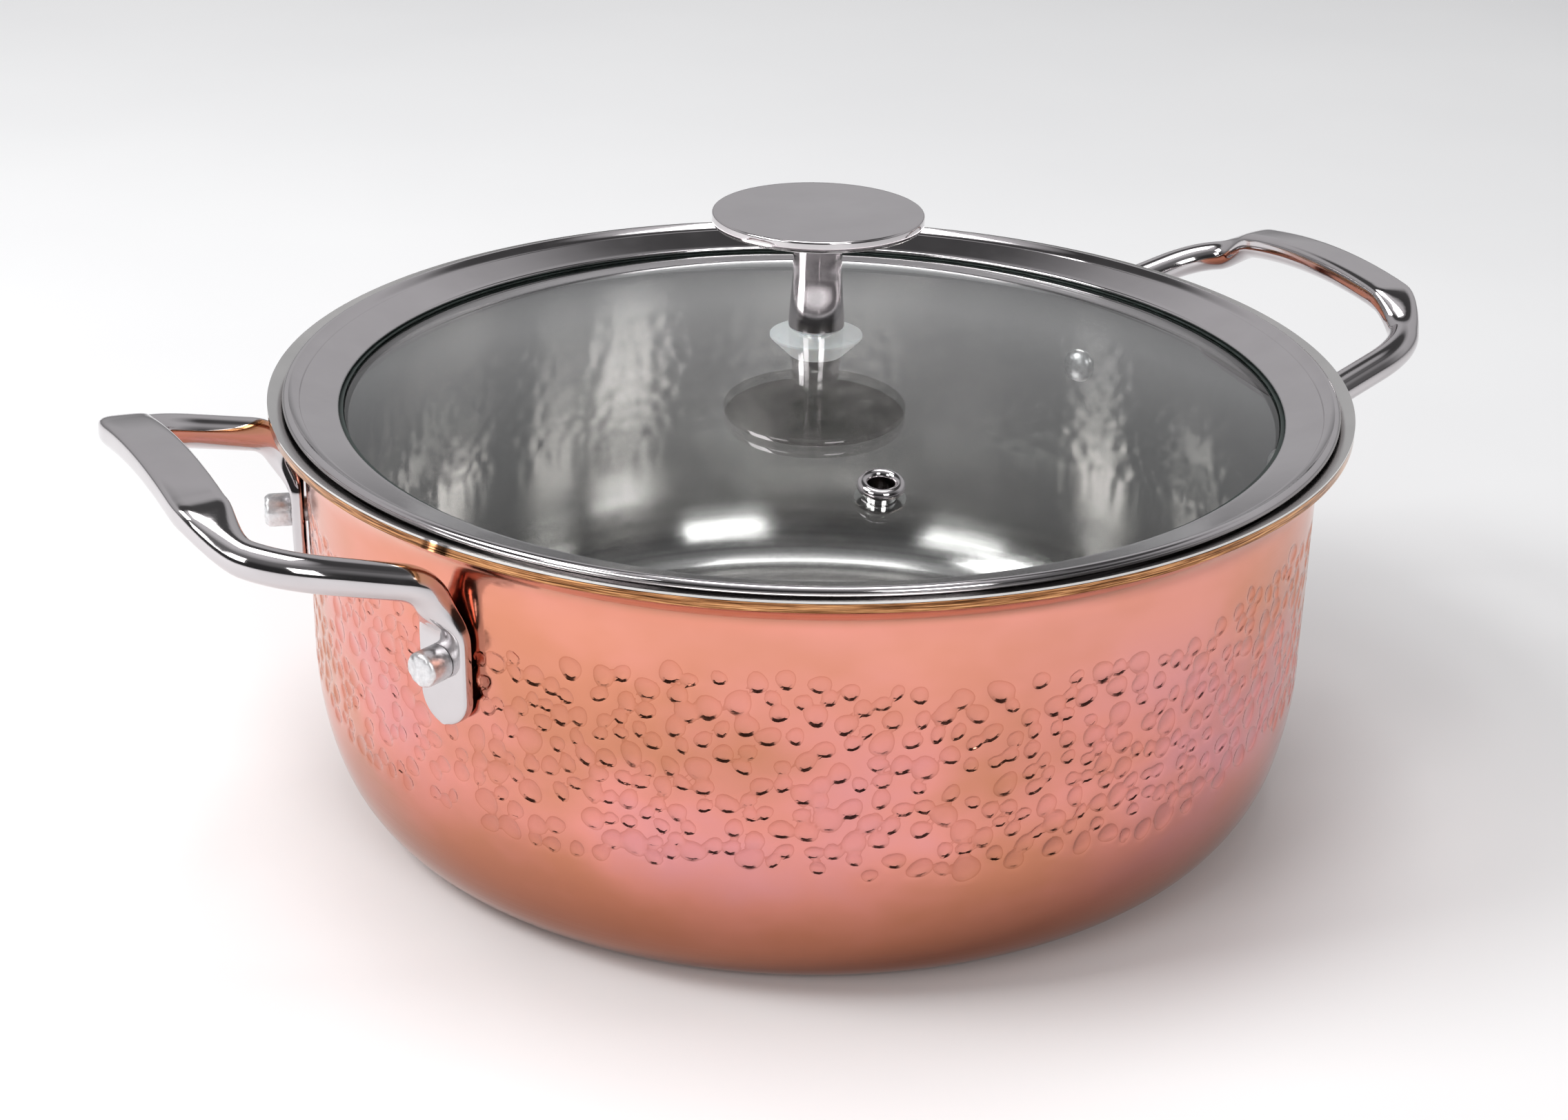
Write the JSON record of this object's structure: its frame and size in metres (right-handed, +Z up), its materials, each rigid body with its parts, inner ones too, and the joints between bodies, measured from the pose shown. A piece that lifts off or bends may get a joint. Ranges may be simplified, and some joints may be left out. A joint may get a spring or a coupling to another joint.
{
  "type": "casserole with glass lid",
  "caption": "Hammered copper casserole with a steel lining, riveted rod handles on both sides and a domed glass lid with a flat round knob.",
  "frame": {"origin": "middle of the base, on the surface that the pot stands on", "axes": "+Z up; +X along the line through the two handles"},
  "size_m": [0.3316, 0.26, 0.1436],
  "materials": {
    "copper": "hammered copper, polished",
    "satin_steel": "satin stainless steel",
    "polished_steel": "polished stainless steel",
    "rivet_aluminium": "matte, peened",
    "lid_glass": "clear tempered glass",
    "dark_rubber": "dark seal",
    "milky_silicone": "translucent white silicone"
  },
  "bodies": {
    "pot": {"copper_shell": "copper", "steel_lining": "satin_steel", "handle_left": "polished_steel", "handle_right": "polished_steel", "rivet_left_front": "rivet_aluminium", "rivet_left_back": "rivet_aluminium", "rivet_right_front": "rivet_aluminium", "rivet_right_back": "rivet_aluminium"},
    "lid": {"lid_glass": "lid_glass", "lid_seal": "dark_rubber", "lid_band": "polished_steel", "vent_eyelet": "polished_steel", "vent_washer": "satin_steel", "knob_disc": "polished_steel", "knob_stem": "polished_steel", "knob_cone_washer": "milky_silicone", "knob_screw_washer": "satin_steel", "knob_screw": "satin_steel"}
  },
  "joints": [
    {"name": "lid_lift", "type": "slide", "parent": "pot", "child": "lid", "axis": [0, 0, 1], "range_m": [0, 0.15]}
  ]
}
